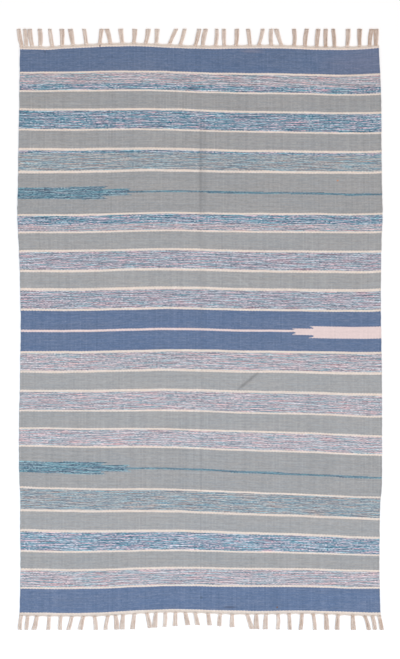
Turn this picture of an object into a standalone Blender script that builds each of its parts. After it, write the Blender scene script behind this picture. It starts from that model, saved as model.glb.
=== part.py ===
"""A hand-woven striped kilim rug lying flat: one woven cloth body, with a knotted fringe at its far and
near ends.

Metres, +Z up. The rug lies on z = 0 with its length along Y, and the origin is under the middle of its
bounding box. The cloth is described as a weaver sees it: "along" runs down the warps from the far end,
and "across" runs over the warps from the middle line, to +X. The weft lines aren't quite straight, so
each has a run-off towards the near end.
"""

import bpy
import numpy as np

MM = 0.001

# Cloth.
PICK = 2.5 * MM  # one pass of weft
PICKS = 953  # passes from end to end
BODY_LENGTH = PICK * PICKS
BODY_WIDTH = 1522 * MM  # nominal, selvedge to selvedge
BODY_THICKNESS = 4 * MM

# Fringe: the warp ends, gathered in tassels beyond a cord twined across them.
FRINGE_THICKNESS = 5 * MM
GAP = 0.3 * MM  # between the last weft and the twined cord
CORD = 6 * MM  # width of the twined cord
ROOT_HALF = 6 * MM  # half width of a tassel where it leaves the cord
TIP_HALF = 8 * MM  # half width of a tassel near its cut end
TIP_ROUND = 3 * MM  # how far the middle of a cut end stands past its corners
FAR_TRIM = 72 * MM  # the line the far tassels are cut at, past the end of the cloth
NEAR_TRIM = 68 * MM
SHORT_CUT = 20 * MM  # the near tassels are cut this much shorter round SHORT_AT
SHORT_AT = -20 * MM
SHORT_SPREAD = 190 * MM

# The cloth's sections in millimetres: how far along each is, where its two selvedges lie across, and the
# run-off of its weft line at the left edge, the left quarter, the middle, the right quarter and the right
# edge.
SECTION_COLUMNS = ("along", "left", "right", "run_1", "run_2", "run_3", "run_4", "run_5")
SECTIONS = (
    (0, -758, 750, 4, -5, -2, 4, -3),
    (190, -760, 760, -4, -6, -1, 9, 7),
    (430, -764, 762, -2, -4, -1, 8, 6),
    (560, -766, 763, 6, 0, -2, 4, 2),
    (700, -769, 766, 9, 2, -1, 3, 1),
    (850, -762, 761, 7, 1, 0, 7, 5),
    (1100, -755, 759, 4, 1, -1, 7, 4),
    (1275, -756, 762, 6, 1, -2, 4, 6),
    (1370, -757, 763, 5, 1, -1, 7, 11),
    (1620, -762, 764, -9, -9, -3, 9, 23),
    (1820, -761, 763, -18, -11, -4, 13, 24),
    (1900, -757, 756, -15, -10, -4, 11, 24),
    (2030, -757, 754, -10, -8, -5, 8, 22),
    (2200, -756, 753, 5, 2, -3, 2, 8),
    (2382.5, -760, 758, 10, 2, -5, 0, 3),
)
RUN_PLACES = np.array([-0.5, -0.25, 0.0, 0.25, 0.5])  # of the body's width

# A small ripple on top of the run-off, drawn in by the knots and so larger at the two ends.
RIPPLE = 1.4 * MM
RIPPLE_AT_ENDS = 2.6 * MM
RIPPLE_ENDS_REACH = 50 * MM
RIPPLE_LENGTH = 620 * MM
RIPPLE_CREST = 167 * MM  # across, in the body of the cloth
RIPPLE_CREST_SHIFT = 170 * MM  # the crest lies this much further left at the far end
RIPPLE_SHIFT_REACH = 250 * MM

# A tuck near the left corner of the far end.
TUCK = 3 * MM
TUCK_AT = -638 * MM
TUCK_WIDTH = 40 * MM
TUCK_REACH = 60 * MM

# Tassels from left to right, in millimetres: the root, measured from the left selvedge, and how far its
# tip leans to the right of it.
FAR_TASSELS = (
    (8, -13), (27, -6), (52, -10), (86, -2), (136, -10), (178, -2), (223, -11), (279, -10), (336, 8),
    (380, -15), (430, -6), (479, 3), (529, 10), (573, 4), (628, 29), (674, 19), (737, 17), (768, 13),
    (822, 5), (858, -1), (908, 3), (966, -8), (1004, 16), (1055, 0), (1098, -22), (1152, 0), (1197, 8),
    (1246, 7), (1284, 1), (1321, -5), (1374, 5), (1427, 0), (1469, 8), (1495, 0),
)
NEAR_TASSELS = (
    (8, -6), (35, -6), (73, -12), (125, -4), (174, -3), (220, -14), (268, -12), (316, 5), (372, -10),
    (404, 5), (436, -4), (483, -8), (536, 13), (573, -4), (613, -4), (656, -2), (697, 10), (739, 11),
    (793, 7), (843, -3), (894, 0), (957, 20), (995, 2), (1036, -3), (1086, -1), (1132, 4), (1186, -6),
    (1234, 7), (1287, 4), (1338, -3), (1400, 3), (1451, 16), (1483, 10), (1511, 10),
)

SELVEDGE_STEPS = 48
END_STEPS = 50

# Materials: colour, roughness, metallic.
CLOTH = ("grey_blue_cotton_weave", (0.37, 0.40, 0.42, 1.0), 0.9, 0.0)
WARP = ("natural_cotton_warp", (0.76, 0.62, 0.49, 1.0), 0.9, 0.0)


def section_column(name, along):
    """The column of SECTIONS at the places along, in metres: a smooth curve through the rows, whose slope
    at each row is that of the line between its neighbours."""
    table = np.array(SECTIONS) * MM
    at = table[:, 0]
    value = table[:, SECTION_COLUMNS.index(name)]
    slope = np.gradient(value, at)
    slope[1:-1] = (value[2:] - value[:-2]) / (at[2:] - at[:-2])
    row = np.clip(np.searchsorted(at, along, side="right") - 1, 0, len(at) - 2)
    step = at[row + 1] - at[row]
    t = (along - at[row]) / step
    return (
        (2 * t**3 - 3 * t**2 + 1) * value[row]
        + (t**3 - 2 * t**2 + t) * step * slope[row]
        + (3 * t**2 - 2 * t**3) * value[row + 1]
        + (t**3 - t**2) * step * slope[row + 1]
    )


def weft_run(across, along):
    """How far the weft line at along has run towards the near end, at the places across: the one quartic
    through the section's five runs, plus the ripple and the tuck."""
    runs = np.array([section_column(f"run_{place}", along) for place in range(1, 6)])
    quartic = np.linalg.inv(np.vander(RUN_PLACES, 5)) @ runs
    u = across / BODY_WIDTH
    run = ((quartic[0] * u + quartic[1]) * u + quartic[2]) * u + quartic[3]
    run = run * u + quartic[4]
    from_end = np.minimum(along, BODY_LENGTH - along)
    height = RIPPLE + RIPPLE_AT_ENDS * np.exp(-from_end / RIPPLE_ENDS_REACH)
    crest = RIPPLE_CREST - RIPPLE_CREST_SHIFT * np.exp(-along / RIPPLE_SHIFT_REACH)
    tuck = TUCK * np.exp(-(((across - TUCK_AT) / TUCK_WIDTH) ** 2) - (along / TUCK_REACH) ** 2)
    return run + height * np.cos(2 * np.pi * (across - crest) / RIPPLE_LENGTH) + tuck


def cloth_point(across, along):
    """Points of the cloth on the floor, before the rug is centred, with y = 0 at the far end."""
    across, along = np.broadcast_arrays(np.asarray(across, float), np.asarray(along, float))
    return np.column_stack([across, -(along + weft_run(across, along))])


def body_outline():
    """Down the left selvedge, along the near end, up the right selvedge and back along the far end."""
    down = np.linspace(0, BODY_LENGTH, SELVEDGE_STEPS + 1)
    left = section_column("left", down)
    right = section_column("right", down)
    over = np.linspace(0, 1, END_STEPS + 1)[1:-1]
    near = left[-1] + (right[-1] - left[-1]) * over
    far = right[0] + (left[0] - right[0]) * over
    return np.vstack([
        cloth_point(left, down),
        cloth_point(near, BODY_LENGTH),
        cloth_point(right, down)[::-1],
        cloth_point(far, 0.0),
    ])


def comb_outline(along, outward, tassels, trim, short_cut):
    """One comb: the twined cord's inner side from left to right, then back along its outer side and round
    each tassel, from its root to its cut end."""
    left = float(section_column("left", np.array([along]))[0])
    right = float(section_column("right", np.array([along]))[0])
    inner = cloth_point(np.linspace(left, right, END_STEPS + 1), along)
    inner[:, 1] += outward * GAP
    straight = -along + outward * trim
    points = [inner]
    corner = outward * (GAP + CORD)
    points.append(cloth_point(right, along) + (0, corner))
    for root, lean in reversed(tassels):
        x = left + root * MM
        tip = x + lean * MM
        end = straight - outward * short_cut * np.exp(-(((tip - SHORT_AT) / SHORT_SPREAD) ** 2))
        roots = cloth_point([x + ROOT_HALF, x - ROOT_HALF], along) + (0, corner)
        points.append(roots[:1])
        points.append([(tip + TIP_HALF, end), (tip, end + outward * TIP_ROUND), (tip - TIP_HALF, end)])
        points.append(roots[1:])
    points.append(cloth_point(left, along) + (0, corner))
    return np.vstack(points)


def principled(name, colour, roughness, metallic):
    material = bpy.data.materials.new(name)
    material.use_nodes = True
    shader = material.node_tree.nodes["Principled BSDF"]
    shader.inputs["Base Color"].default_value = colour
    shader.inputs["Roughness"].default_value = roughness
    shader.inputs["Metallic"].default_value = metallic
    return material


def flat_piece(name, outline, thickness, material, collection):
    """A closed outline filled and extruded to its thickness, lying on z = 0."""
    curve = bpy.data.curves.new(name, "CURVE")
    curve.dimensions = "2D"
    curve.fill_mode = "BOTH"
    curve.extrude = thickness / 2
    spline = curve.splines.new("POLY")
    spline.points.add(len(outline) - 1)
    points = np.zeros((len(outline), 4))
    points[:, :2] = outline
    points[:, 3] = 1
    spline.points.foreach_set("co", points.ravel())
    spline.use_cyclic_u = True
    curve.materials.append(material)
    piece = bpy.data.objects.new(name, curve)
    piece.location.z = thickness / 2
    collection.objects.link(piece)
    return piece


def main():
    for old in list(bpy.data.objects):
        bpy.data.objects.remove(old)
    collection = bpy.data.collections.new("kilim_rug")
    bpy.context.scene.collection.children.link(collection)

    cloth = principled(*CLOTH)
    warp = principled(*WARP)
    far = comb_outline(0.0, 1, FAR_TASSELS, FAR_TRIM, 0.0)
    near = comb_outline(BODY_LENGTH, -1, NEAR_TASSELS, NEAR_TRIM, SHORT_CUT)
    pieces = (
        ("woven_body", body_outline(), BODY_THICKNESS, cloth),
        ("fringe_far", far, FRINGE_THICKNESS, warp),
        ("fringe_near", near, FRINGE_THICKNESS, warp),
    )
    everything = np.vstack([outline for _, outline, _, _ in pieces])
    middle = (everything.min(axis=0) + everything.max(axis=0)) / 2
    for name, outline, thickness, material in pieces:
        flat_piece(name, outline - middle, thickness, material, collection)


main()
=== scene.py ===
"""Looks of a hand-woven striped kilim rug: one woven cloth with a knotted fringe at its far and near ends.

Metres, +Z up, the rug's length along Y with the far end at +Y. Places on the cloth are a weaver's:
"across" runs from the middle line to +X, "along" down the warps from the far end, "share" from the left
selvedge (0) to the right one (1), and the passes of weft are counted from the far end.
"""

import bpy
import mathutils
import numpy as np
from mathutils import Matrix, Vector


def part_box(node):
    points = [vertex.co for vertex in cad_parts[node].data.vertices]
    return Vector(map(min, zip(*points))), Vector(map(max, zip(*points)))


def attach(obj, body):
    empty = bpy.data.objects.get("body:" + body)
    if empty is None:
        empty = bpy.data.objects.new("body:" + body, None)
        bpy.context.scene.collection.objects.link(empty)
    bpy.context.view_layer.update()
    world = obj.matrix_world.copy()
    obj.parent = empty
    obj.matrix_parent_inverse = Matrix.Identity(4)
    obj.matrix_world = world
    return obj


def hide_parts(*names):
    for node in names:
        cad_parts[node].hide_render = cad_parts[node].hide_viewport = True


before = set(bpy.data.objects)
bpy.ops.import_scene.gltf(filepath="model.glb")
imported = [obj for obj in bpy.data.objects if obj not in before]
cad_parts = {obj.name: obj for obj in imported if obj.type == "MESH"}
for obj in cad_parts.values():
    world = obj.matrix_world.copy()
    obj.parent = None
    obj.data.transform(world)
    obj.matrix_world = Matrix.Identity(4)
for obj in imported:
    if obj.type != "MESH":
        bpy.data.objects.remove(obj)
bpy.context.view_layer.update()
MM = 0.001

# The cloth, as the part has it.
PICK = 2.5 * MM  # one pass of weft: the yarn thrown there and back
PICKS = 953  # passes from end to end
BODY_LENGTH = PICK * PICKS
BODY_WIDTH = 1522 * MM  # nominal, selvedge to selvedge
THICKNESS = 4 * MM

# Its sections in millimetres: how far along each is, where its two selvedges lie across, and the run-off
# of its weft line at the left edge, the left quarter, the middle, the right quarter and the right edge.
SECTION_COLUMNS = ("along", "left", "right", "run_1", "run_2", "run_3", "run_4", "run_5")
SECTIONS = (
    (0, -758, 750, 4, -5, -2, 4, -3),
    (190, -760, 760, -4, -6, -1, 9, 7),
    (430, -764, 762, -2, -4, -1, 8, 6),
    (560, -766, 763, 6, 0, -2, 4, 2),
    (700, -769, 766, 9, 2, -1, 3, 1),
    (850, -762, 761, 7, 1, 0, 7, 5),
    (1100, -755, 759, 4, 1, -1, 7, 4),
    (1275, -756, 762, 6, 1, -2, 4, 6),
    (1370, -757, 763, 5, 1, -1, 7, 11),
    (1620, -762, 764, -9, -9, -3, 9, 23),
    (1820, -761, 763, -18, -11, -4, 13, 24),
    (1900, -757, 756, -15, -10, -4, 11, 24),
    (2030, -757, 754, -10, -8, -5, 8, 22),
    (2200, -756, 753, 5, 2, -3, 2, 8),
    (2382.5, -760, 758, 10, 2, -5, 0, 3),
)
RUN_PLACES = np.array([-0.5, -0.25, 0.0, 0.25, 0.5])  # of the body's width
SELVEDGE_STEPS = 48
END_STEPS = 50

# A small ripple on top of the run-off, and a tuck near one corner of the far end.
RIPPLE = 1.4 * MM
RIPPLE_AT_ENDS = 2.6 * MM
RIPPLE_ENDS_REACH = 50 * MM
RIPPLE_LENGTH = 620 * MM
RIPPLE_CREST = 167 * MM
RIPPLE_CREST_SHIFT = 170 * MM
RIPPLE_SHIFT_REACH = 250 * MM
TUCK = 3 * MM
TUCK_AT = -638 * MM
TUCK_WIDTH = 40 * MM
TUCK_REACH = 60 * MM

# The weaver's draft, from the far end. Each band's yarn, for how many passes, how much lighter it is,
# and the passes of the plain cream line after it. The lightness is in part the band's own tone and in part
# painted light: it rises towards the near end, and lifts the first cream at the far end. Half a pass is the
# yarn thrown one way only, and a smaller part is what the beating gives or takes.
YARNS = ("grey", "cream", "blue", "pink", "lilac", "heather", "peacock", "sage")
BANDS = (
    ("cream", 4.5, 1.2, 0), ("blue", 40, -0.4, 3), ("lilac", 18.5, -0.2, 0),
    ("peacock", 10.25, -0.1, 2.75), ("grey", 28, -0.3, 3.5), ("peacock", 30.5, -0.3, 3),
    ("grey", 28.75, -0.15, 4), ("peacock", 4.25, -0.1, 0), ("sage", 27.75, 0, 4),
    ("grey", 67.25, -0.25, 3.25), ("peacock", 14.75, -0.05, 0), ("lilac", 11.5, -0.1, 3),
    ("grey", 28.5, 0.25, 3.5), ("heather", 29.75, 0, 4), ("grey", 27, 0.4, 4.5),
    ("heather", 30.25, 0, 3.5), ("blue", 31.7, 0.1, 0), ("pink", 3.6, 0, 0), ("blue", 32.2, 0.1, 3.75),
    ("lilac", 28.75, 0.1, 4), ("grey", 30, 0.7, 4), ("lilac", 31.75, 0.2, 3), ("grey", 28.75, 0.6, 3),
    ("lilac", 28, 0.4, 3), ("grey", 68, 0.15, 3), ("sage", 33.25, 0.05, 3.75), ("grey", 28.75, 0.6, 4),
    ("peacock", 28.25, 0.3, 3), ("grey", 25.5, 0.3, 3.25), ("lilac", 26.5, 0.2, 3),
    ("blue", 39.75, 0.4, 4),
)
DRAFT = [
    weft
    for yarn, passes, shade, line in BANDS
    for weft in ((yarn, passes, shade), ("cream", line, 0))
    if weft[1]
]

# The three tongues, where a second weft comes in from one selvedge and turns back inside the band. Each
# step gives the passes from the middle one, how far in it reaches, and how deep its end is notched like a
# swallow's tail. At the selvedge it is narrower on each side by the widening. The line is the last of the
# weft, which runs on to the other selvedge and drifts towards the near end on its way.
TONGUES = (
    dict(yarn="teal", from_right=False, middle=245.4, line_half=1.8, drift=3.2, widening=1.4,
         steps=((10.5, 372 * MM, 26 * MM), (5.8, 468 * MM, 10 * MM))),
    dict(yarn="teal", from_right=False, middle=713.5, line_half=1.7, drift=1.9, widening=0.8,
         steps=((10.4, 364 * MM, 26 * MM), (5.6, 464 * MM, 14 * MM))),
    dict(yarn="pink", from_right=True, middle=478.6, line_half=0.0, drift=0.0, widening=0.0,
         steps=((10.1, 303 * MM, 20 * MM), (5.4, 376 * MM, 10 * MM))),
)

# The cloth's relief and its faces.
WARPS = 240  # ribs across the cloth, one to each cable of warp
RIB = 0.75 * MM  # how far a rib stands above the groove between two
ROW_STEP = 6  # most passes in one row of faces
UNDER_PARTS = 24  # columns of faces underneath
INSET = 1.0 * MM  # how far the selvedges draw in
EDGE = 2.2 * MM  # how round the selvedges are
EDGE_TURNS = np.radians([54, 18, -18, -54])
SELVEDGE_BEAD = 0.5 * MM  # the doubled outer warps stand this proud
SELVEDGE_WIDTH = 5 * MM
SELVEDGE_GROOVE = 0.6 * MM
SELVEDGE_WAVE = 0.9 * MM
MIX_RISE = 0.25 * MM  # how much thicker the many-stranded yarns are
UNEVEN = 0.12 * MM
END_THINNING = 0.4 * MM  # the cloth is this much thinner at its first and last pass
END_REACH = 0.7 * MM
LIFT = 1.0 * MM  # how far the cloth waves up
LATTICE = 1200  # cells of the random waves, each way
LATTICE_MARGIN = 50

# The long fold down the middle of the cloth.
FOLD_DEPTH = 0.4 * MM
FOLD_WIDTH = 6 * MM
FOLD_SWAY = 5 * MM

# Creases, in millimetres: from, to (across, along), depth (a ridge where it is below zero) and half
# width; and how much painted shade darkens the cloth along them, a painted highlight where below zero. The
# first deepens the long fold in its upper part.
CREASES = (
    ((-4, 330), (6, 720), 0.9, 7, 0.0),
    ((149, 1444), (248, 1362), 1.5, 6, 0.3),
    ((141, 954), (220, 1017), -1.2, 5, -0.07),
    ((151, 951), (230, 1014), 0.4, 5, 0.06),
)

# The fringe, as the part has it: where the tassels are cut, past the end of the cloth, and how much
# shorter the near ones are round SHORT_AT.
FAR_TRIM = 72 * MM
NEAR_TRIM = 68 * MM
SHORT_CUT = 20 * MM
SHORT_AT = -20 * MM
SHORT_SPREAD = 190 * MM
# Tassels from left to right, in millimetres: the root, measured from the left selvedge, and how far its
# tip leans to the right of it.
FAR_TASSELS = (
    (8, -13), (27, -6), (52, -10), (86, -2), (136, -10), (178, -2), (223, -11), (279, -10), (336, 8),
    (380, -15), (430, -6), (479, 3), (529, 10), (573, 4), (628, 29), (674, 19), (737, 17), (768, 13),
    (822, 5), (858, -1), (908, 3), (966, -8), (1004, 16), (1055, 0), (1098, -22), (1152, 0), (1197, 8),
    (1246, 7), (1284, 1), (1321, -5), (1374, 5), (1427, 0), (1469, 8), (1495, 0),
)
NEAR_TASSELS = (
    (8, -6), (35, -6), (73, -12), (125, -4), (174, -3), (220, -14), (268, -12), (316, 5), (372, -10),
    (404, 5), (436, -4), (483, -8), (536, 13), (573, -4), (613, -4), (656, -2), (697, 10), (739, 11),
    (793, 7), (843, -3), (894, 0), (957, 20), (995, 2), (1036, -3), (1086, -1), (1132, 4), (1186, -6),
    (1234, 7), (1287, 4), (1338, -3), (1400, 3), (1451, 16), (1483, 10), (1511, 10),
)

# The yarns of a tassel. BUNDLE gives each one's place across the tassel, in yarns, and its layer.
YARN_RADIUS = 1.75 * MM
YARN_UNEVEN = (0.86, 1.1)  # times the radius
YARN_TAPER = 0.18  # how much thinner a yarn is at its cut end
YARN_SIDES = 6
YARN_RINGS = 12
PLY_LOBE = 0.12  # how far a yarn's two plies stand out of its round section
PLY_TURN = 66 * MM  # one turn of the section
YARN_STEP = 3.8 * MM  # from yarn to yarn in a tassel
BUNDLE = np.array([(-2, 0), (-1, 0), (0, 0), (1, 0), (2, 0), (-1.5, 1), (-0.5, 1), (0.5, 1), (1.5, 1)])
LOWER_YARNS = 1.75 * MM  # height of a tassel's lower yarns
UPPER_YARNS = 2.6 * MM  # how much higher the upper ones lie
CUT_UNEVEN = (-1.6 * MM, 1.2 * MM)  # past the trim line
SPLAY = (0.85, 1.35)  # how wide a tassel opens towards its cut end
ROOT_ROOM = (5 * MM, 8 * MM)  # least and most that its yarns take up under the cord
END_ROOM = 20 * MM  # beyond the outer tassels
WANDER = 0.9 * MM  # how far one yarn strays from its tassel
BOW = 2.2 * MM
NEST = 0.3 * MM  # how far an upper yarn sinks or rises

# The wrapped knot of each tassel.
KNOT_AT = 6.5 * MM  # past the end of the cloth
KNOT_RADIUS = 1.4 * MM
KNOT_TURNS = 2.0
KNOT_PITCH = 2.3 * MM
KNOT_UNEVEN = 0.5 * MM
KNOT_WIDE = 5.6 * MM  # half its width
KNOT_TALL = 3.1 * MM  # half its height
KNOT_RINGS = 26
KNOT_SIDES = 6

# The outer warp ends of each tassel are drawn in to it along the cloth's edge, some from further than others.
DRAWN_SHARES = (1.0, 0.78, 0.5)  # of the way to the middle of the space between two tassels
DRAWN_STEP = 1.1 * MM  # how much further out the shorter ones lie
DRAWN_RADIUS = 1.15 * MM
DRAWN_RINGS = 8
DRAWN_SIDES = 5

# The cord twined across the warps.
CORD_PLY = 1.1 * MM  # radius of each of its two plies
CORD_TWIST = 0.85 * MM  # radius of the helix they follow
CORD_RISE = 0.9 * MM  # off the floor
CORD_TURNS = 170
CORD_RINGS = 1190
CORD_SIDES = 6
WRAP_LOBE = 0.06  # as PLY_LOBE, for knots, drawn ends and cord

# How pale the drawn ends and the cord are at least, where a tassel's yarns are from 0 to 1. This extra
# paleness is painted light against the shade that the cloth's edge casts on them.
DRAWN_PALE = 0.9
CORD_PALE = 1.3

# The studio. Its three lights are balanced so that the floor is white and the cloth keeps its own colours.
SKY = 0.74
KEY_PLACE = (0.52, -0.18, 0.83)
KEY_SPREAD = np.radians(25)
KEY_POWER = 0.92
KEY_COLOUR = (1.0, 0.77, 0.60)
FILL_PLACE = (-0.3, -2.0, 4.0)
FILL_SIZE = 2.5
FILL_POWER = 60.0
FILL_COLOUR = (0.508, 0.77, 1.0)
STUDIO_LIGHT = 1.12  # a surface in the middle of the rug looks this much brighter than its own colour
VIEW_HEIGHT = 2767.8 * MM  # of floor, from the top of the view to its bottom
VIEW_CENTRE = (-0.3 * MM, -0.4 * MM)
LENS_MM = 100
SENSOR_MM = 36
FLOOR_SIZE = 120.0
FLOOR_DROP = 0.3 * MM  # below the lowest yarns


# ---- shapes ----


def section_column(name, along):
    """The column of SECTIONS at the places along: a smooth curve through the rows, whose slope at each
    row is that of the line between its neighbours."""
    table = np.array(SECTIONS) * MM
    at = table[:, 0]
    value = table[:, SECTION_COLUMNS.index(name)]
    slope = np.gradient(value, at)
    slope[1:-1] = (value[2:] - value[:-2]) / (at[2:] - at[:-2])
    row = np.clip(np.searchsorted(at, along, side="right") - 1, 0, len(at) - 2)
    step = at[row + 1] - at[row]
    t = (along - at[row]) / step
    return (
        (2 * t**3 - 3 * t**2 + 1) * value[row]
        + (t**3 - 2 * t**2 + t) * step * slope[row]
        + (3 * t**2 - 2 * t**3) * value[row + 1]
        + (t**3 - t**2) * step * slope[row + 1]
    )


def selvedges(along):
    """Where the left and the right selvedge lie across, at the places along."""
    return [section_column(side, along) for side in ("left", "right")]


def weft_run(across, along):
    """How far the weft line at along has run towards the near end: the one quartic through the section's five
    runs, plus a cosine ripple that is higher at the two ends, and a bell-shaped tuck near one corner."""
    runs = np.array([section_column(f"run_{place}", along) for place in range(1, 6)])
    quartic = np.tensordot(np.linalg.inv(np.vander(RUN_PLACES, 5)), runs, axes=1)
    run = np.polyval(quartic, across / BODY_WIDTH)
    from_end = np.minimum(along, BODY_LENGTH - along)
    height = RIPPLE + RIPPLE_AT_ENDS * np.exp(-from_end / RIPPLE_ENDS_REACH)
    crest = RIPPLE_CREST - RIPPLE_CREST_SHIFT * np.exp(-along / RIPPLE_SHIFT_REACH)
    tuck = TUCK * np.exp(-(((across - TUCK_AT) / TUCK_WIDTH) ** 2) - (along / TUCK_REACH) ** 2)
    return run + height * np.cos(2 * np.pi * (across - crest) / RIPPLE_LENGTH) + tuck


def cloth_shift():
    """From the weaver's places to the rug's frame: the move that brings the outline into its solid's box."""
    down = np.linspace(0, BODY_LENGTH, SELVEDGE_STEPS + 1)
    left, right = selvedges(down)
    over = np.linspace(0, 1, END_STEPS + 1)
    near = left[-1] + (right[-1] - left[-1]) * over
    far = left[0] + (right[0] - left[0]) * over
    lowest = -(BODY_LENGTH + weft_run(near, BODY_LENGTH)).max()
    highest = -weft_run(far, 0.0).min()
    low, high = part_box("woven_body")
    return (low.x + high.x - left.min() - right.max()) / 2, (low.y + high.y - lowest - highest) / 2


SHIFT_X, SHIFT_Y = cloth_shift()


def stacked(*parts):
    """The arrays, spread to one shape, side by side on a last axis."""
    return np.stack(np.broadcast_arrays(*parts), axis=-1)


def laid(across, along, height):
    """Points of the cloth in the rug's frame."""
    return stacked(across + SHIFT_X, SHIFT_Y - along - weft_run(across, along), height)


def wave(across, along, cell_across, cell_along, seed):
    """Soft random waves from -1 to 1: numbers drawn on a lattice of these cells, blended from corner to
    corner with the curve 3t^2 - 2t^3."""
    across = across / cell_across + LATTICE_MARGIN
    along = along / cell_along + LATTICE_MARGIN
    across, along = np.broadcast_arrays(across, along)
    lattice = np.random.default_rng(seed).uniform(-1, 1, (LATTICE, LATTICE))
    i = np.floor(across).astype(int)
    j = np.floor(along).astype(int)
    s = across - i
    t = along - j
    s = s * s * (3 - 2 * s)
    t = t * t * (3 - 2 * t)
    near = lattice[i, j] * (1 - s) + lattice[i + 1, j] * s
    far = lattice[i, j + 1] * (1 - s) + lattice[i + 1, j + 1] * s
    return near * (1 - t) + far * t


def crease_axes(across, along, start, end):
    """Measured from the start of the line from start to end: how far on and how far aside a place lies,
    and the line's length. Works for arrays and for fields."""
    run = np.subtract(end, start)
    length = np.hypot(*run)
    x, y = run / length
    across = across - start[0]
    along = along - start[1]
    return across * x + along * y, across * y - along * x, length


def crease(across, along, start, end, width):
    """1 on the line from start to end, falling off to each side as a bell of that half width, and softly
    past its two ends."""
    onward, aside, length = crease_axes(across, along, start, end)
    past = np.maximum(np.maximum(-onward, onward - length), 0)
    return np.exp(-((aside / width) ** 2)) * np.exp(-((past / (3 * width)) ** 2))


def linked(name, data):
    """A new object of the scene for this mesh, lamp or camera."""
    thing = bpy.data.objects.new(name, data)
    bpy.context.scene.collection.objects.link(thing)
    return thing


def mesh_piece(name, points, faces, material):
    """A mesh object from points and a list of face arrays, each with one row of corners per face. The
    four-sided faces of walls and cloth are shaded smooth, and the many-sided ends flat."""
    mesh = bpy.data.meshes.new(name)
    corners = np.concatenate([f.ravel() for f in faces])
    sizes = np.concatenate([np.full(len(f), f.shape[1]) for f in faces])
    mesh.vertices.add(len(points))
    mesh.vertices.foreach_set("co", np.asarray(points, np.float32).ravel())
    mesh.loops.add(len(corners))
    mesh.loops.foreach_set("vertex_index", corners.astype(np.int32))
    mesh.polygons.add(len(sizes))
    mesh.polygons.foreach_set("loop_start", (np.cumsum(sizes) - sizes).astype(np.int32))
    mesh.update(calc_edges=True)
    mesh.polygons.foreach_set("use_smooth", sizes == 4)
    mesh.materials.append(material)
    return linked(name, mesh)


def add_map(piece, name, places):
    """A UV map from an array with one place per corner, in the order of the faces."""
    layer = piece.data.uv_layers.new(name=name, do_init=False)
    layer.data.foreach_set("uv", np.asarray(places, np.float32).ravel())


def add_values(piece, name, kind, domain, values):
    """An attribute from an array with one number or vector per point, or per corner of the faces."""
    layer = piece.data.attributes.new(name, kind, domain)
    field = "vector" if kind == "FLOAT_VECTOR" else "value"
    layer.data.foreach_set(field, np.asarray(values, np.float32).ravel())


# ---- the cloth ----


def draft_rows():
    """The cloth's rows of faces. Each yarn of the draft is cut evenly into rows of at most ROW_STEP
    passes. Gives the passes at which the rows begin and end, and for each row its yarn, the next yarn,
    its shade, and how many passes of the yarn are left at the row's start and at its end."""
    edges = [0.0]
    rows = []
    for place, (yarn, passes, shade) in enumerate(DRAFT):
        following = DRAFT[min(place + 1, len(DRAFT) - 1)][0]
        count = int(np.ceil(passes / ROW_STEP))
        first = edges[-1]
        for row in range(count):
            edges.append(first + passes * (row + 1) / count)
            left = passes * (1 - row / count)
            rows.append((YARNS.index(yarn), YARNS.index(following), shade, left, left - passes / count))
    return np.array(edges), np.array(rows)


def cloth_loop():
    """Once round the cloth's section, from its upper left: the share across, how far out of the selvedge
    line each point lies in units of EDGE, and its height as a share of the thickness."""
    top = np.linspace(0, 1, 2 * WARPS + 1)
    under = np.linspace(1, 0, UNDER_PARTS + 1)
    turns = len(EDGE_TURNS)
    share = np.concatenate([top, np.ones(turns), under, np.zeros(turns)])
    bulge = np.cos(EDGE_TURNS)
    outward = np.concatenate([0 * top, bulge, 0 * under, -bulge])
    rise = (1 + np.sin(EDGE_TURNS)) / 2
    high = np.concatenate([0 * top + 1, rise, 0 * under, rise[::-1]])
    return share, outward, high


def cloth_lift(across, along):
    """How far the cloth stands off the floor: broad soft waves, never below zero."""
    broad = wave(across, along, 420 * MM, 330 * MM, 3)
    ripple = wave(across, along, 190 * MM, 150 * MM, 4)
    return LIFT * np.clip(0.45 + 0.75 * broad + 0.35 * ripple, 0, None)


def cloth_thickness(share, across, along, left, right, rise):
    """The cloth's thickness: ribs over the warps, a bead and a groove along each selvedge, the thicker
    yarns, the long fold and the creases, and a little hand-woven unevenness."""
    warp = share * WARPS
    rib = -0.5 * RIB * np.cos(2 * np.pi * warp) * (1 + 0.35 * wave(across, along, 3.2 * MM, 21 * MM, 5))
    inside = np.minimum(across - left, right - across)
    bead = SELVEDGE_BEAD * np.exp(-((inside / SELVEDGE_WIDTH) ** 4))
    groove = SELVEDGE_GROOVE * np.exp(-(((inside - 1.7 * SELVEDGE_WIDTH) / (0.5 * SELVEDGE_WIDTH)) ** 2))
    uneven = UNEVEN * wave(across, along, 38 * MM, 9 * MM, 6)
    fold_at = FOLD_SWAY * wave(along * 0, along, 1.0, 300 * MM, 7)
    fold = FOLD_DEPTH * np.exp(-(((across - fold_at) / FOLD_WIDTH) ** 2))
    thickness = THICKNESS - 0.1 * MM + rib + bead - groove + uneven + rise - fold
    for start, end, depth, width, _ in CREASES:
        trough = crease(across / MM, along / MM, start, end, width)
        shoulder = crease(across / MM, along / MM, start, end, 2.6 * width)
        thickness = thickness - depth * MM * (1.25 * trough - 0.45 * shoulder)
    from_end = np.minimum(along, BODY_LENGTH - along)
    return thickness - END_THINNING * np.exp(-((from_end / END_REACH) ** 2))


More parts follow.
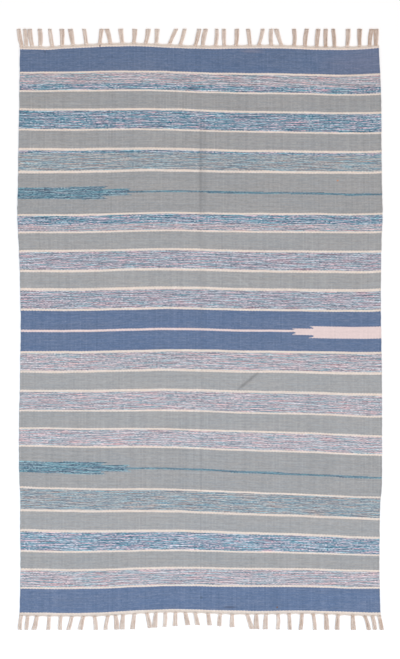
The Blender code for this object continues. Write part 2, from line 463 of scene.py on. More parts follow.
def cloth_maps(edges, rows, share):
    """For each corner of the faces round the cloth: its place on the cloth and in the baked picture, of
    which the upper face takes nine tenths; its yarn, the next yarn and the passes left; and the yarn's
    shade."""
    count = len(share)
    row = np.arange(len(rows))[:, None, None]
    corner_row = row + np.array([0, 1, 1, 0])
    corner_column = np.arange(count)[None, :, None] + np.array([0, 0, 1, 1])
    corner_row, corner_column = np.broadcast_arrays(corner_row, corner_column)
    on_cloth = stacked(share[corner_column % count] * BODY_WIDTH, edges[corner_row] * PICK)
    top = 2 * WARPS
    turns = len(EDGE_TURNS)
    under = top + turns + 1
    loop = [0, top, under, under + UNDER_PARTS, count]
    picture_x = np.interp(np.arange(count + 1), loop, [0.01, 0.91, 0.92, 0.98, 0.99])
    picture = stacked(picture_x[corner_column], 0.985 - 0.97 * edges[corner_row] / PICKS)
    yarn, following, shade, left_at_start, left_at_end = rows.T[:, :, None, None]
    left = np.where(corner_row == row, left_at_start, left_at_end)
    return on_cloth, picture, stacked(yarn, following, left), np.broadcast_to(shade, left.shape)


def cloth_end(count, near):
    """The faces that close one end: one over each column of the underside, and one at each edge."""
    top = 2 * WARPS
    turns = len(EDGE_TURNS)
    ribs = top // UNDER_PARTS
    part = np.arange(UNDER_PARTS)[:, None]
    under = top + turns + 1 + UNDER_PARTS - part
    middle = np.hstack([part * ribs + np.arange(ribs + 1), under - 1, under])
    right = np.arange(top, top + turns + 2)[None]
    left = np.append(np.arange(count - turns - 1, count), 0)[None]
    return [f[:, ::-1] if near else f for f in (middle, right, left)]


def woven_cloth(material):
    """The cloth: its section's loop, carried down the rows of the draft."""
    edges, rows = draft_rows()
    share, outward, high = cloth_loop()
    along = (edges * PICK)[:, None]
    ragged = SELVEDGE_WAVE * np.random.default_rng(8).uniform(-1, 1, (len(edges), 2))
    left = section_column("left", along) + INSET + ragged[:, :1]
    right = section_column("right", along) - INSET + ragged[:, 1:]
    across = left + EDGE + share * (right - left - 2 * EDGE) + EDGE * outward
    row_rise = MIX_RISE * np.isin(rows[:, 0], [YARNS.index(name) for name in MIXED_DYES])
    rise = (np.append(row_rise, 0) + np.append(0, row_rise))[:, None] / 2
    thickness = cloth_thickness(share, across, along, left, right, rise)
    points = laid(across, along, cloth_lift(across, along) + high * thickness)

    count = len(share)
    start = np.arange(len(rows))[:, None] * count
    here = start + np.arange(count)
    beside = start + (np.arange(count) + 1) % count
    sides = stacked(here, here + count, beside + count, beside).reshape(-1, 4)
    far = cloth_end(count, near=False)
    near = [f + len(rows) * count for f in cloth_end(count, near=True)]
    faces = [sides, *far, *near]

    piece = mesh_piece("rug_cloth", points.reshape(-1, 3), faces, material)
    on_cloth, picture, throw, shade = cloth_maps(edges, rows, share)
    ends = np.concatenate([f.ravel() for f in faces[1:]])
    end_column = ends % count
    end_along = np.where(ends < count, 0.0, BODY_LENGTH)
    end_cloth = stacked(share[end_column] * BODY_WIDTH, end_along)
    sliver = 0.004 * high[end_column]
    end_picture_y = np.where(ends < count, 0.998 - sliver, 0.002 + sliver)
    end_picture = stacked(0.01 + 0.9 * share[end_column], end_picture_y)
    cream = YARNS.index("cream")
    end_throw = np.tile([cream, cream, 2.0], (len(ends), 1))
    add_map(piece, "cloth", np.vstack([on_cloth.reshape(-1, 2), end_cloth]))
    add_map(piece, "OFBake", np.vstack([picture.reshape(-1, 2), end_picture]))
    add_values(piece, "throw", "FLOAT_VECTOR", "CORNER", np.vstack([throw.reshape(-1, 3), end_throw]))
    add_values(piece, "shade", "FLOAT", "CORNER", np.append(shade.ravel(), np.zeros(len(ends))))
    return piece


# ---- the fringe ----


def tubes(centres, aside, radius, phase, sides, lobe):
    """Closed tubes round many centre lines at once. Each ring is a circle that swells and shrinks twice
    on its way round, as two plies do, and phase turns it, corners and all. centres is (tube, ring, 3),
    and aside points across each line. Gives the points, the faces of the walls, and those of the two
    ends."""
    radius = np.broadcast_to(radius, centres.shape[:2])[..., None]
    phase = np.broadcast_to(phase, centres.shape[:2])[..., None]
    onward = np.gradient(centres, axis=1)
    onward /= np.linalg.norm(onward, axis=-1, keepdims=True)
    first = aside - onward * (aside * onward).sum(axis=-1, keepdims=True)
    first /= np.linalg.norm(first, axis=-1, keepdims=True)
    second = np.cross(onward, first)
    corner = 2 * np.pi * np.arange(sides) / sides
    turn = corner + phase
    reach = radius * (1 + lobe * np.cos(2 * corner))
    points = (
        centres[:, :, None]
        + (reach * np.cos(turn))[..., None] * first[:, :, None]
        + (reach * np.sin(turn))[..., None] * second[:, :, None]
    )
    count, rings = centres.shape[:2]
    number = np.arange(count * rings * sides).reshape(count, rings, sides)
    beside = np.roll(number, -1, axis=2)
    walls = stacked(number[:, :-1], beside[:, :-1], beside[:, 1:], number[:, 1:])
    return points.reshape(-1, 3), walls.reshape(-1, 4), number[:, 0, ::-1], number[:, -1]


def tassel_lines(tassels, along, side, trim, short_cut, seed):
    """Centre lines of all the yarns of a fringe, side being 1 at the far end and -1 at the near one. Each
    tassel's yarns come out from under the cord side by side, gather by the knot with the curve 3t^2 -
    2t^3, and run to the cut end, spreading a little, leaning by the power 0.9 of the way, and bowed by
    half a sine wave. Gives them as (yarn, ring, 3), with how far along its yarn each ring is."""
    draw = np.random.default_rng(seed)
    root, lean = np.array(tassels).T[:, :, None, None] * MM
    root = root + selvedges(along)[0]
    tip = root + lean
    cut = trim - short_cut * np.exp(-(((tip - SHORT_AT) / SHORT_SPREAD) ** 2))
    foot = laid(root, along, 0.0)[..., 1]
    hem = side * (foot - SHIFT_Y + along)
    length = cut - hem + draw.uniform(*CUT_UNEVEN, (len(tassels), len(BUNDLE), 1))
    t = np.linspace(0, 1, YARN_RINGS) ** 1.2
    out = CORD_PLY + (length - CORD_PLY) * t
    place, layer = BUNDLE.T[:, None, :, None]
    gathered = np.clip((out - CORD_PLY) / (KNOT_AT - CORD_PLY), 0, 1)
    gathered = gathered**2 * (3 - 2 * gathered)
    beyond = np.clip((out - KNOT_AT) / (trim - KNOT_AT), 0, 1)
    splay = draw.uniform(*SPLAY, (len(tassels), 1, 1))
    gap_left = np.diff(root, axis=0, prepend=root[:1] - END_ROOM)
    gap_right = np.diff(root, axis=0, append=root[-1:] + END_ROOM)
    room = np.clip((gap_left + gap_right) / 4, *ROOT_ROOM)
    spread = room / 2 * (1 - gathered) + YARN_STEP * gathered * (0.74 + (splay - 0.7) * beyond**0.7)
    wander = draw.uniform(-1, 1, (len(tassels), len(BUNDLE), 1)) * WANDER * np.sin(np.pi * beyond * 1.3)
    bow = draw.uniform(-1, 1, (len(tassels), 1, 1)) * BOW * np.sin(np.pi * beyond)
    leaned = lean * np.clip((out - KNOT_AT) / (cut - hem - KNOT_AT), 0, 1.1) ** 0.9
    across = root + leaned + place * spread + wander + bow
    upper = UPPER_YARNS * layer * (0.25 + 0.75 * gathered) * (1 - 0.22 * beyond * splay)
    nest = draw.uniform(-NEST, NEST, (len(tassels), len(BUNDLE), 1)) * beyond
    height = LOWER_YARNS + 0.9 * MM * (1 - gathered) + upper + nest * layer
    points = laid(across, along, height)
    points[..., 1] = points[..., 1] * (1 - gathered) + foot * gathered + side * out
    out = np.broadcast_to(out, points.shape[:-1])
    return points.reshape(-1, YARN_RINGS, 3), out.reshape(-1, YARN_RINGS)


def knot_lines(tassels, along, side, seed):
    """A short wrapping of yarn round each tassel: two turns of an oval helix that lies on the floor."""
    draw = np.random.default_rng(seed)
    root = np.array(tassels)[:, :1] * MM + selvedges(along)[0]
    t = np.linspace(0, 1, KNOT_RINGS)
    turn = 2 * np.pi * (KNOT_TURNS * t + draw.uniform(0, 1, root.shape))
    wide = KNOT_WIDE * draw.uniform(0.92, 1.08, root.shape)
    centre = laid(root, along, 0.0)
    out = KNOT_AT + (t - 0.5) * KNOT_TURNS * KNOT_PITCH + KNOT_UNEVEN * draw.uniform(-1, 1, root.shape)
    x = centre[..., 0] + wide * np.cos(turn)
    y = centre[..., 1] + side * out
    z = KNOT_TALL + KNOT_RADIUS + (KNOT_TALL - 0.2 * MM) * np.sin(turn)
    return stacked(x, y, z), stacked(np.cos(turn) * KNOT_TALL, 0, np.sin(turn) * wide)


def drawn_lines(tassels, along, side, seed):
    """Centre lines of the warp ends drawn in along the cloth's edge. Each leaves a tassel's knot and
    nears the cord by the power curve (1 - u)^2.4 while it runs its share of the way, u from 0 to 1, to
    the middle of the space beside the tassel. The shorter ones lie further out."""
    draw = np.random.default_rng(seed)
    left, right = selvedges(along)
    root = np.array(tassels)[:, 0] * MM + left
    middles = (root[1:] + root[:-1]) / 2
    ends = stacked(np.append(left + 2 * MM, middles), np.append(middles, right - 2 * MM))
    share = np.array(DRAWN_SHARES)
    reach = (ends - root[:, None])[:, :, None] * share * draw.uniform(0.85, 1.0, (len(root), 2, len(share)))
    u = np.linspace(0, 1, DRAWN_RINGS)
    across = root[:, None, None, None] + reach[..., None] * u
    order = np.arange(len(share))[:, None]
    outer = 2 * (CORD_PLY + CORD_TWIST) - 0.3 * MM + DRAWN_STEP * order * (1 - u**3)
    out = outer + (KNOT_AT + 1.2 * MM - outer) * (1 - u) ** 2.4
    height = DRAWN_RADIUS + 1.6 * MM * (1 - u) ** 2 + 0.5 * MM * (len(share) - 1 - order) * u * (1 - u) * 4
    points = laid(across, along, height)
    points[..., 1] += side * out
    return points.reshape(-1, DRAWN_RINGS, 3)


def cord_lines(along, side):
    """The two plies of the cord twined across the warps: helices half a turn apart."""
    left, right = selvedges(along)
    share = np.linspace(0, 1, CORD_RINGS)
    across = left + 1 * MM + (right - left - 2 * MM) * share
    ply = np.array([0.0, 0.5])[:, None]
    turn = 2 * np.pi * (CORD_TURNS * share + ply)
    middle = CORD_PLY + CORD_TWIST
    points = laid(across, along, middle + CORD_RISE + CORD_TWIST * np.sin(turn))
    points[..., 1] += side * middle + CORD_TWIST * np.cos(turn)
    return points


def tube_places(lines, sides):
    """Where the corners of tubes lie on their yarns: the share of the way round, and how far along in metres.
    Gives them for the walls and for the two ends."""
    steps = np.linalg.norm(np.diff(lines, axis=1), axis=-1)
    run = np.concatenate([np.zeros((len(lines), 1)), np.cumsum(steps, axis=1)], axis=1)
    around = np.arange(sides + 1) / sides
    tube, ring, column = np.indices((len(lines), lines.shape[1] - 1, sides))
    corner_ring = stacked(ring, ring, ring + 1, ring + 1)
    corner_side = stacked(column, column + 1, column + 1, column)
    walls = stacked(around[corner_side], run[tube[..., None], corner_ring])
    ends = [stacked(around[:sides], at) for at in (run[:, :1], run[:, -1:])]
    return [places.reshape(-1, 2) for places in (walls, *ends)]


def fringe(name, tassels, along, side, trim, short_cut, seed, material):
    """One fringe: the tassels' yarns, their knots, the ends drawn in beside them and the twined cord,
    joined into one mesh. Each yarn carries how pale it is."""
    draw = np.random.default_rng(seed + 1)
    yarns, out = tassel_lines(tassels, along, side, trim, short_cut, seed)
    knots, knots_aside = knot_lines(tassels, along, side, seed + 2)
    drawn = drawn_lines(tassels, along, side, seed + 3)
    cord = cord_lines(along, side)
    sideways = np.array([1.0, 0.0, 0.0])
    upwards = np.array([0.0, 0.0, 1.0])
    tip = np.linspace(0, 1, YARN_RINGS)
    thick = draw.uniform(*YARN_UNEVEN, (len(yarns), 1)) * YARN_RADIUS * (1 - YARN_TAPER * tip**8)
    twist = 2 * np.pi * (out / PLY_TURN + draw.uniform(0, 1, (len(yarns), 1)))
    groups = (
        (yarns, sideways, thick, twist, YARN_SIDES, PLY_LOBE, 0.0),
        (knots, knots_aside, KNOT_RADIUS, 0.0, KNOT_SIDES, WRAP_LOBE, 0.0),
        (drawn, upwards, DRAWN_RADIUS, 0.0, DRAWN_SIDES, WRAP_LOBE, DRAWN_PALE),
        (cord, upwards, CORD_PLY, 0.0, CORD_SIDES, WRAP_LOBE, CORD_PALE),
    )
    points, faces, places, strands = [], [], [], []
    for lines, aside, radius, phase, sides, lobe, palest in groups:
        more, *shells = tubes(lines, aside, radius, phase, sides, lobe)
        base = sum(len(p) for p in points)
        points.append(more)
        faces += [shell + base for shell in shells]
        places += tube_places(lines, sides)
        # For the cord and the drawn ends, the least paleness is painted light.
        pale = np.maximum(draw.uniform(0, 1, len(lines)), palest)
        strands.append(np.repeat(pale, lines.shape[1] * sides))
    piece = mesh_piece(name, np.vstack(points), faces, material)
    add_map(piece, "yarn", np.vstack(places))
    add_values(piece, "strand", "FLOAT", "POINT", np.concatenate(strands))
    return piece


# ---- finishes ----


def dye(red, green, blue):
    """The colour of a surface that looks like this, out of 255, under the studio light."""
    shown = np.array([red, green, blue]) / 255
    linear = np.where(shown <= 0.04045, shown / 12.92, ((shown + 0.055) / 1.055) ** 2.4)
    return (*(linear / STUDIO_LIGHT), 1.0)


def maths(operation):
    """A method of Field that lays out this Math node."""
    return lambda field, *others: field.math(operation, *others)


class Field:
    """A number or a colour that varies over a piece: one output of a material's nodes. Arithmetic on
    fields lays out the Math nodes that do it."""

    def __init__(self, tree, socket):
        self.tree = tree
        self.socket = socket

    def math(self, operation, *others):
        node = self.tree.nodes.new("ShaderNodeMath")
        node.operation = operation
        for entry, value in zip(node.inputs, (self, *others)):
            feed(entry, value)
        return Field(self.tree, node.outputs[0])

    __add__ = maths("ADD")
    __sub__ = maths("SUBTRACT")
    __mul__ = maths("MULTIPLY")
    __truediv__ = maths("DIVIDE")
    __lt__ = maths("LESS_THAN")
    compare = maths("COMPARE")
    floor = maths("FLOOR")
    fraction = maths("FRACT")
    size = maths("ABSOLUTE")
    least = maths("MINIMUM")
    most = maths("MAXIMUM")
    power = maths("POWER")
    exponent = maths("EXPONENT")


def feed(entry, value):
    """Links a field to a node's socket, or sets the socket to a plain value."""
    if isinstance(value, Field):
        value.tree.links.new(value.socket, entry)
    else:
        entry.default_value = value


class Finish:
    """A material in the making, with constants on its shader and a short call for each kind of node."""

    def __init__(self, name, constants):
        self.material = bpy.data.materials.new(name)
        self.material.use_nodes = True
        self.tree = self.material.node_tree
        self.shader = self.tree.nodes["Principled BSDF"]
        for socket, value in constants.items():
            self.shader.inputs[socket].default_value = value

    def node(self, kind, entries, output=0, **settings):
        """One output of a new node of this kind, as a field. output is its name or number."""
        node = self.tree.nodes.new("ShaderNode" + kind)
        for name, value in settings.items():
            setattr(node, name, value)
        for name, value in entries.items():
            feed(node.inputs[name], value)
        return Field(self.tree, node.outputs[output])

    def split(self, vector):
        return [self.node("SeparateXYZ", {"Vector": vector}, axis) for axis in "XYZ"]

    def place(self, x, y, z=0.0):
        return self.node("CombineXYZ", {"X": x, "Y": y, "Z": z})

    def uv(self, name):
        return self.split(self.node("UVMap", {}, uv_map=name))

    def value(self, name):
        return self.node("Attribute", {}, "Fac", attribute_name=name)

    def vector(self, name):
        return self.split(self.node("Attribute", {}, "Vector", attribute_name=name))

    def at_object(self):
        return self.node("TexCoord", {}, "Object")

    def cloud(self, place, scale=1.0, detail=0.0, rough=0.5, dimensions="3D"):
        """Soft noise, centred on 0 and mostly between -1 and 1. In 1D the place is a number."""
        at = "W" if dimensions == "1D" else "Vector"
        entries = {at: place, "Scale": scale, "Detail": detail, "Roughness": rough}
        return (self.node("TexNoise", entries, "Fac", noise_dimensions=dimensions) - 0.5) * 4.0

    def chance(self, x, y):
        """A number from -1 to 1 for each whole x and y, with no likeness between neighbours."""
        white = self.node("TexWhiteNoise", {"Vector": self.place(x, y)}, "Value", noise_dimensions="3D")
        return (white - 0.5) * 2.0

    def ramp(self, share, colours):
        """A colour that runs evenly through these as the share goes from 0 to 1."""
        ramp = self.node("ValToRGB", {"Fac": share}, "Color")
        stops = ramp.socket.node.color_ramp.elements
        while len(stops) < len(colours):
            stops.new(1.0)
        for stop, position, colour in zip(stops, np.linspace(0, 1, len(colours)), colours):
            stop.position = position
            stop.color = colour
        return ramp

    def mix(self, share, below, above):
        return self.node("Mix", {0: share, 6: below, 7: above}, 2, data_type="RGBA")

    def scaled(self, colour, by):
        colour = colour if isinstance(colour, Field) else colour[:3]
        return self.node("VectorMath", {0: colour, "Scale": by}, operation="SCALE")

    def finish(self, colour, roughness, height, depth):
        """Colour, roughness and relief onto the shader; height is from 0 to 1, and depth is in metres."""
        relief = self.node("Bump", {"Height": height, "Distance": depth, "Strength": 1.0})
        for socket, field in (("Base Color", colour), ("Roughness", roughness), ("Normal", relief)):
            feed(self.shader.inputs[socket], field)
        return self.material


# The warp, from its tan to its palest.
WARP_DYES = ((204, 177, 156), (228, 208, 195), (242, 225, 213), (249, 240, 232))

# The plain yarns, as they look out of 255 under the studio light.
PLAIN_DYES = {
    "grey": (162.6, 163.6, 164.9),
    "cream": (236, 221.5, 210.5),
    "blue": (97.5, 118.5, 152.1),
    "pink": (236, 215, 213),
}
FUZZ_DYE = (216, 208, 210)  # the fibres that stand up off a plain yarn
# The many-stranded yarns: mean colour, a step from dark strands to light ones, and one from teal to pink.
MIXED_DYES = {
    "lilac": ((174, 173.5, 182), (16.8, 13.1, 12.0), (10.2, -6.0, -7.8)),
    "heather": ((164, 167, 179), (18.2, 15.3, 14.5), (10.4, -6.3, -7.2)),
    "peacock": ((133.5, 156.5, 174.5), (26.6, 18.0, 16.1), (11.2, -7.9, -8.5)),
    "sage": ((152.5, 163, 169.5), (13.3, 12.5, 10.8), (10.7, -3.1, -8.3)),
}
TEAL_DYE = ((112, 141, 157), (15.0, 15.5, 14.0), (6.5, -4.5, -5.0))
MOST_STEPS = 4.5  # on either side of the mean
RAMP_STOPS = 7

# Depth of the fine relief.
WEAVE_BUMP = 0.5 * MM
YARN_BUMP = 0.5 * MM
FLOOR_BUMP = 0.05 * MM

# How the yarns change along their length: how many times a metre, where on the yarn the count starts, detail,
# roughness, and how much of the pass before is taken off, so that passes side by side differ.
YARN_CHANGES = {
    "streak": (5.2, 0.0, 4.0, 0.74, 0.6),
    "strand": (6.4, 7000.0, 3.0, 0.6, 0.45),
    "warmth": (13.0, 3000.0, 2.0, 0.55, 0.6),
}


def strand_colour(plan, light, pink, mean, light_step, pink_step):
    """The colour of a many-stranded yarn: light runs from dark strands to light ones and pink from teal
    ones to pink ones, each in steps and mostly between -2 and 2."""
    share = light * (0.5 / MOST_STEPS) + 0.5
    steps = np.linspace(-MOST_STEPS, MOST_STEPS, RAMP_STOPS)[:, None]
    tones = np.array(mean) + steps * np.array(light_step)
    sides = [tones + pinker * np.array(pink_step) for pinker in (-2, 2)]
    teal_side, pink_side = [plan.ramp(share, [dye(*tone) for tone in side]) for side in sides]
    return plan.mix(pink * 0.25 + 0.5, teal_side, pink_side)


def yarn_change(plan, spun, name):
    """Soft noise along the yarn, less its share of the noise one pass earlier."""
    per_metre, start, detail, rough, share_before = YARN_CHANGES[name]
    here = plan.cloud(spun * per_metre + start, 1.0, detail, rough, "1D")
    before = plan.cloud((spun - 2 * BODY_WIDTH) * per_metre + start, 1.0, detail, rough, "1D")
    return here - before * share_before


def is_yarn(yarn, name):
    """1 where the yarn is the one of this name, and 0 elsewhere."""
    return yarn.compare(YARNS.index(name), 0.5)


def plain_weft(plan, yarn, fuzz, tone, warmth):
    """The plain yarns: each one's dye under a veil of pale fibres, lighter or darker by the tone, and
    warmer or cooler by the warmth."""
    colour = dye(*PLAIN_DYES["grey"])
    for name in ("cream", "blue", "pink"):
        colour = plan.mix(is_yarn(yarn, name), colour, dye(*PLAIN_DYES[name]))
    colour = plan.scaled(plan.mix(fuzz, colour, dye(*FUZZ_DYE)), tone)
    warmed = plan.place(warmth + 1.0, 1.0, warmth * -1.0 + 1.0)
    return plan.node("VectorMath", {0: colour, 1: warmed}, operation="MULTIPLY")


def tongue_field(tongue, warp, pass_number, jitter):
    """1 inside the tongue and 0 outside. Each step holds while the pass is within its half height of the
    middle one and the warp within its reach, which a notch shortens towards the middle pass."""
    step = BODY_WIDTH / WARPS
    reached = warp * -step + BODY_WIDTH if tongue["from_right"] else warp * step
    past_middle = (pass_number + 0.5 - tongue["middle"]).size()
    inside = None
    for half, reach, notch in tongue["steps"]:
        prong = (past_middle / (half - 0.8)).least(1.0).power(5.0)
        tip = prong * notch + jitter * (0.7 * step) + (reach - notch)
        here_half = (reached / reach - 1.0).least(0.0) * tongue["widening"] + half
        here = (past_middle < here_half) * (reached < tip.least(reach + step))
        inside = here if inside is None else inside.most(here)
    return inside


def line_field(tongue, warp, pass_number):
    """1 on the line that runs on from a tongue's tip, and 0 elsewhere. It drifts towards the near end by
    the square of how far past the tip it has come."""
    reach = tongue["steps"][-1][1]
    beyond = ((warp * (BODY_WIDTH / WARPS) - reach) / (BODY_WIDTH - reach)).most(0.0)
    drifted = (pass_number + 0.5 - beyond * beyond * tongue["drift"] - tongue["middle"]).size()
    return drifted < tongue["line_half"]


def with_tongues(plan, colour, warp, pass_number, light, pink, tone):
    """The bands with the tongues laid over them, each over the line that runs on from its tip."""
    jitter = plan.chance(pass_number, 3.0)
    wefts = {
        "teal": strand_colour(plan, light, pink, *TEAL_DYE),
        "pink": plan.scaled(dye(*PLAIN_DYES["pink"]), tone * 0.5 + 0.5),
    }
    line_teal = strand_colour(plan, light * 0.6 - 0.25, pink * 0.6 - 0.3, *TEAL_DYE)
    for tongue in TONGUES:
        if tongue["line_half"]:
            colour = plan.mix(line_field(tongue, warp, pass_number), colour, line_teal)
        inside = tongue_field(tongue, warp, pass_number, jitter)
        colour = plan.mix(inside, colour, wefts[tongue["yarn"]])
    return colour


def mark_field(x, y, at, half, most):
    """How much of an oval mark shows: most in its middle, falling by the square of the distance to 0."""
    right = (x - at[0]) / half[0]
    down = (y - at[1]) / half[1]
    return ((right * right + down * down) * -most + most).most(0.0).least(1.0)


def crease_field(across, along, start, end, width):
    """1 on the line from start to end, falling off to each side as a bell of that half width, and to its two
    ends by the fourth power of the distance from its middle."""
    onward, aside, length = crease_axes(across, along, start, end)
    bell = ((aside / width).power(2.0) * -1.0).exponent()
    return bell * ((onward * (2 / length) - 1.0).size().power(4.0) * -1.0 + 1.0).most(0.0)


# Bits of stray fibre, faded and scuffed places, a painted shadow beside the tuck near the far end, and
# painted shade along the long fold and to its right: how far from the left selvedge and how far along, and
# half widths, in millimetres; colour, and how fully it covers the middle.
MARKS = (
    ((1339, 559), (4.5, 3.5), (214, 150, 105), 2.0),
    ((338, 5), (3.5, 4.5), (120, 60, 62), 2.0),
    # Painted shadow of the tuck near the far left corner.
    ((103, 18), (8, 4), (84, 90, 112), 0.6),
    ((1088, 2357), (4.5, 4), (122, 98, 88), 2.0),
    ((887, 2357), (33, 6), (86, 98, 124), 1.0),
    ((767, 2319), (8, 7), (86, 104, 126), 0.9),
    ((1500, 60), (260, 70), (165, 148, 155), 0.17),
    ((985, 20), (60, 11), (170, 155, 160), 0.22),
    # Painted shade: along the whole long fold, deeper in its upper part, and beside it to the right.
    ((763, 1190), (5, 1600), (70, 75, 85), 0.09),
    ((763, 530), (7.5, 300), (60, 63, 68), 0.17),
    ((773, 520), (22, 270), (95, 98, 102), 0.2),
)


def with_wear_and_painted_shade(plan, colour, x, y, streak):
    """The cloth with its marks, which cover the light strands of a yarn more than the dark ones, some of
    them painted shade and shadow, and with painted shade along its creases and a painted highlight on a
    ridge."""
    for at, half, tint, most in MARKS:
        cover = mark_field(x / MM, y / MM, at, half, most) * (streak * 0.5 + 0.9)
        colour = plan.mix(cover, colour, dye(*tint))
    # Painted shade along the creases, and a painted highlight along the ridge where the value is below zero.
    for start, end, _, width, painted_shading in CREASES:
        if painted_shading:
            line = crease_field((x - BODY_WIDTH / 2) / MM, y / MM, start, end, width)
            colour = plan.scaled(colour, line * -painted_shading + 1.0)
    return colour


def cloth_finish():
    """Weft-faced cotton. A grain of yarn shows wherever a pass crosses a warp, set half a pass lower on
    every other warp, and the passes waver a little along the cloth. The yarn of each pass comes from the
    draft. Every yarn changes along its length; the plain ones also with the warps and with how hard they
    were beaten."""
    plan = Finish("woven_cotton", {"Sheen Weight": 0.12, "Sheen Roughness": 0.5, "Specular IOR Level": 0.25})
    x, y, _ = plan.uv("cloth")
    yarn, following, left = plan.vector("throw")
    # The draft's shade, in part painted light that rises towards the near end.
    shade = plan.value("shade")
    warp_at = x * (WARPS / BODY_WIDTH)
    warp = warp_at.floor()
    odd = (warp * 0.5).fraction() * 2.0
    waver = plan.cloud(plan.place(x * 7.0, y * 9.0), dimensions="2D", detail=2.0) * 0.45 + 0.4
    lag = odd * 0.5 + waver
    pass_at = y / PICK + lag
    pass_number = pass_at.floor()
    yarn = yarn + (following - yarn) * (left < lag)

    spun = pass_number * (2 * BODY_WIDTH) + x
    streak = yarn_change(plan, spun, "streak")
    strand = yarn_change(plan, spun, "strand")
    patch = plan.cloud(plan.place(x * 3.0, y * 14.0, 7.0), detail=2.0)
    grain = plan.chance(warp, pass_number)
    light = streak * 4.85 + grain * 2.0 + patch * 0.3 + shade
    pink = strand * 3.4 + patch * 0.1

    rib_tone = plan.cloud(plan.place(warp * 0.73, y * 1.5), dimensions="2D")
    beaten = plan.cloud(plan.place(x * 2.5, y * 120.0, 3.0), detail=1.0)
    slub = plan.cloud(plan.place(x * 30.0, y * 120.0, 5.0), detail=1.0)
    yarn_tone = streak * 0.06 + grain * 0.055 + rib_tone * 0.033
    tone = yarn_tone + beaten * 0.055 + slub * 0.045 + shade * 0.1 + 1.0
    fuzz = streak * 0.03 + grain * 0.025 + rib_tone * 0.008 + slub * 0.03 + patch * 0.02 + 0.034
    warmth = yarn_change(plan, spun, "warmth") * 0.05 + patch * 0.016

    colour = plain_weft(plan, yarn, fuzz.most(0.0), tone, warmth)
    for name, dyes in MIXED_DYES.items():
        colour = plan.mix(is_yarn(yarn, name), colour, strand_colour(plan, light, pink, *dyes))
    colour = with_tongues(plan, colour, warp, pass_number, light, pink, tone)
    colour = with_wear_and_painted_shade(plan, colour, x, y, streak)

    in_pass = (pass_at.fraction() * 2.0 - 1.0).size()
    in_rib = (warp_at.fraction() * 2.0 - 1.0).size()
    # Painted shade in the grooves between passes and between ribs.
    painted_groove_shade = in_pass.power(5.0) * 0.16 + in_rib.power(6.0) * 0.12
    colour = plan.scaled(colour, painted_groove_shade * -1.0 + 1.035)

    fibre = plan.cloud(plan.at_object(), scale=700.0, detail=2.0)
    height = in_pass * in_pass * -0.6 + fibre * 0.1 + grain * 0.12 + 0.8
    roughness = fibre * 0.03 + 0.88
    return plan.finish(colour, roughness, height, WEAVE_BUMP)


def warp_finish():
    """Unbleached cotton warp: pale cream where the fibres stand up, painted shade in the grooves between the
    plies, painted light that makes it paler towards the cut ends, no two yarns alike, and tanner towards the
    right, most of all at the far end."""
    plan = Finish("natural_cotton_warp", {"Sheen Weight": 0.15, "Specular IOR Level": 0.25})
    around, run, _ = plan.uv("yarn")
    strand = plan.value("strand")
    fibres = plan.cloud(plan.place(around * 5.0 + run * 260.0, run * 90.0, strand * 60.0), detail=2.0)
    soft = plan.cloud(plan.at_object(), scale=60.0, detail=2.0)
    ply_groove = ((around * 2.0 + run * 140.0).fraction() * 2.0 - 1.0).size().power(4.0)
    x, y, _ = plan.split(plan.at_object())
    tanned = (x * 0.4).most(0.0).least(0.26) * (y * 0.16 + 0.8) + plan.cloud(plan.place(x * 12.0, y)) * 0.1
    # The run term is painted light towards the cut ends; the ply groove term is painted shade.
    share = fibres * 0.18 + soft * 0.2 + strand * 0.5 + run * 3.2 + 0.22 - ply_groove * 0.08 - tanned
    colour = plan.ramp(share, [dye(*tint) for tint in WARP_DYES])
    return plan.finish(colour, soft * 0.03 + 0.88, fibres * 0.2 + 0.7 - ply_groove * 0.4, YARN_BUMP)


def floor_finish():
    """A plain pale studio floor with the faintest cloudiness."""
    plan = Finish("pale_floor", {"Specular IOR Level": 0.2})
    cloud = plan.cloud(plan.at_object(), scale=0.7, detail=3.0)
    colour = plan.scaled((0.96, 0.96, 0.965, 1.0), cloud * 0.006 + 1.0)
    return plan.finish(colour, cloud * 0.02 + 0.85, cloud * 0.1 + 0.5, FLOOR_BUMP)


# ---- the studio ----


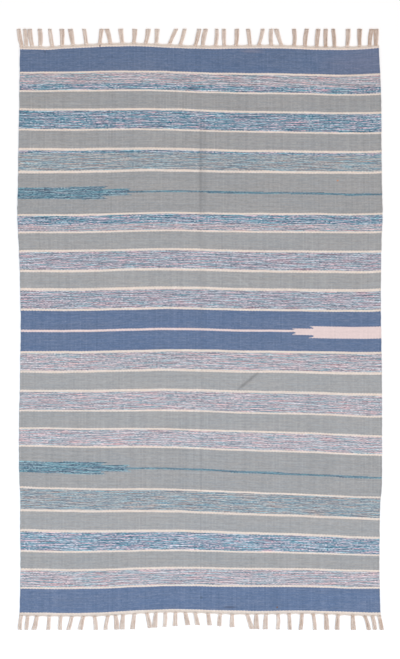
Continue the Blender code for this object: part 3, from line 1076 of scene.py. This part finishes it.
def studio_floor(material):
    """One square face, just below the rug."""
    corners = FLOOR_SIZE / 2 * np.array([(-1, -1), (1, -1), (1, 1), (-1, 1)])
    points = np.column_stack([corners, np.full(4, -FLOOR_DROP)])
    return mesh_piece("studio_floor", points, [np.arange(4)[None]], material)


def studio_camera():
    """Straight above the rug, with +Y up in the picture."""
    data = bpy.data.cameras.new("studio_camera")
    data.lens = LENS_MM
    data.sensor_width = SENSOR_MM
    data.clip_end = 200.0
    camera = linked("studio_camera", data)
    camera.location = (*VIEW_CENTRE, VIEW_HEIGHT * LENS_MM / SENSOR_MM)
    bpy.context.scene.camera = camera


def studio_lamp(name, kind, place, power, colour):
    """A lamp at this place, aimed at the middle of the rug."""
    data = bpy.data.lights.new(name, kind)
    data.energy = power
    data.color = colour
    lamp = linked(name, data)
    lamp.location = place
    lamp.rotation_euler = mathutils.Vector(place).to_track_quat("Z", "Y").to_euler()
    lamp.visible_camera = False
    return lamp


def studio_light():
    """An even white sky, a soft warm sun from the right, and a cool soft box on the near side."""
    scene = bpy.context.scene
    world = bpy.data.worlds.new("studio_sky")
    world.use_nodes = True
    sky = world.node_tree.nodes["Background"]
    sky.inputs["Color"].default_value = (1.0, 1.0, 1.0, 1.0)
    sky.inputs["Strength"].default_value = SKY
    scene.world = world
    key = studio_lamp("key_light", "SUN", KEY_PLACE, KEY_POWER, KEY_COLOUR)
    key.data.angle = KEY_SPREAD
    fill = studio_lamp("near_soft_box", "AREA", FILL_PLACE, FILL_POWER, FILL_COLOUR)
    fill.data.shape = "DISK"
    fill.data.size = FILL_SIZE
    scene.view_settings.view_transform = "Standard"
    scene.view_settings.look = "None"


def main():
    studio_camera()
    cotton = cloth_finish()
    warp = warp_finish()
    cloth = woven_cloth(cotton)
    far = fringe("far_fringe", FAR_TASSELS, 0.0, 1, FAR_TRIM, 0.0, 20, warp)
    near = fringe("near_fringe", NEAR_TASSELS, BODY_LENGTH, -1, NEAR_TRIM, SHORT_CUT, 30, warp)
    for piece, node, slot in (
        (cloth, "woven_body", "woven_cloth"),
        (far, "fringe_far", "warp_cotton"),
        (near, "fringe_near", "warp_cotton"),
    ):
        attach(piece, "root")
        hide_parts(node)
    studio_floor(floor_finish())
    studio_light()


main()
